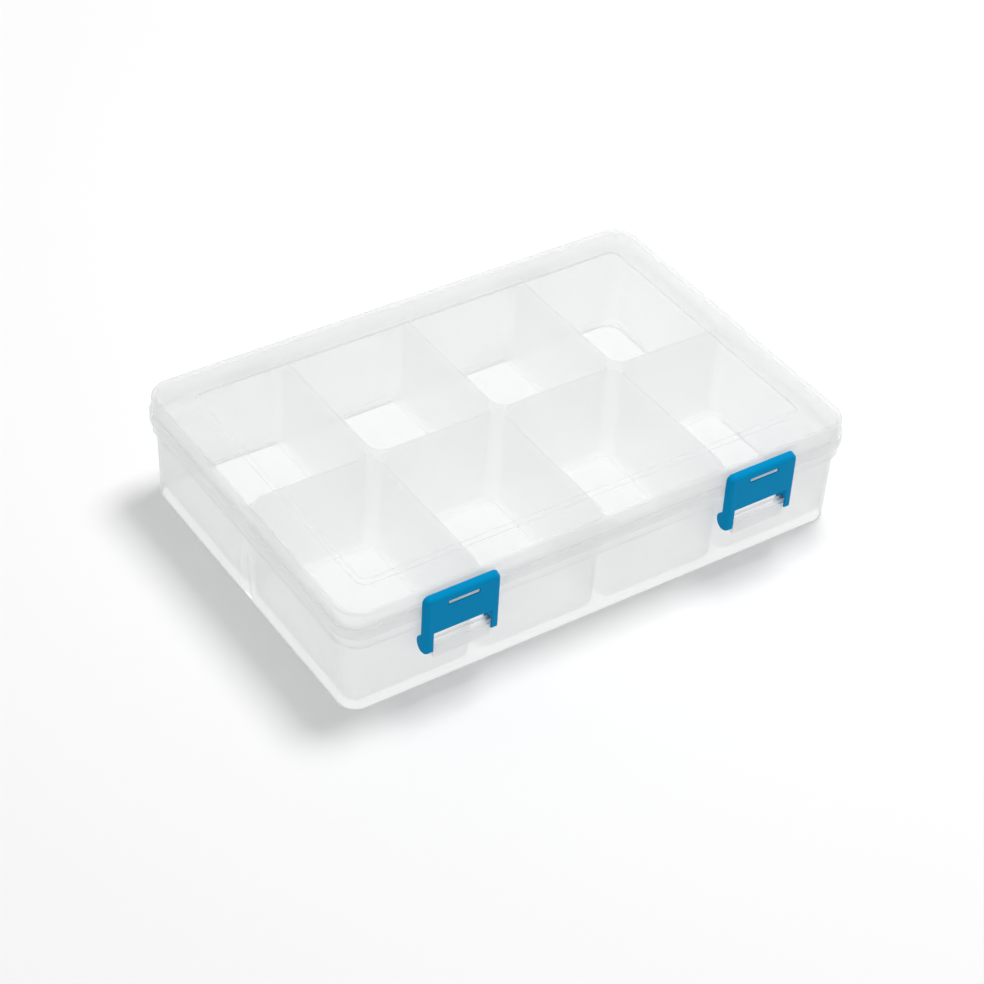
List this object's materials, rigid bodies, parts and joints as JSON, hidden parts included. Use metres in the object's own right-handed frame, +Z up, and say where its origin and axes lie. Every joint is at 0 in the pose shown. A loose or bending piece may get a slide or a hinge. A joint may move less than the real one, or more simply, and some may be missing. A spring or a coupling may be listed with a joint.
{
  "type": "compartment storage box",
  "caption": "Shallow clear box with a grid of compartments, a hinged lid with a stepped skirt, and blue latches along the front.",
  "frame": {"origin": "centre of the underside of the base, on the surface the box stands on", "axes": "+X to the right along the latches, +Y from the latches to the hinges, +Z up through the lid"},
  "size_m": [0.2, 0.1449, 0.0435],
  "materials": {
    "clear_base": "natural polypropylene, polished mould",
    "clear_lid": "natural polypropylene, polished mould",
    "blue_latch": "coloured polypropylene, satin"
  },
  "bodies": {
    "tub": {"base": "clear_base"},
    "cover": {"lid": "clear_lid"},
    "latch_left": {"left_latch": "blue_latch"},
    "latch_right": {"right_latch": "blue_latch"}
  },
  "joints": [
    {"name": "lid_hinge", "type": "hinge", "parent": "tub", "child": "cover", "pos_m": [0, 0.0711, 0.03015], "axis": [-1, 0, 0], "range_deg": [0, 180]},
    {"name": "left_latch_pivot", "type": "hinge", "parent": "tub", "child": "latch_left", "pos_m": [-0.059, -0.06932, 0.0222], "axis": [1, 0, 0], "range_deg": [0, 100]},
    {"name": "right_latch_pivot", "type": "hinge", "parent": "tub", "child": "latch_right", "pos_m": [0.059, -0.06932, 0.0222], "axis": [1, 0, 0], "range_deg": [0, 100]}
  ]
}
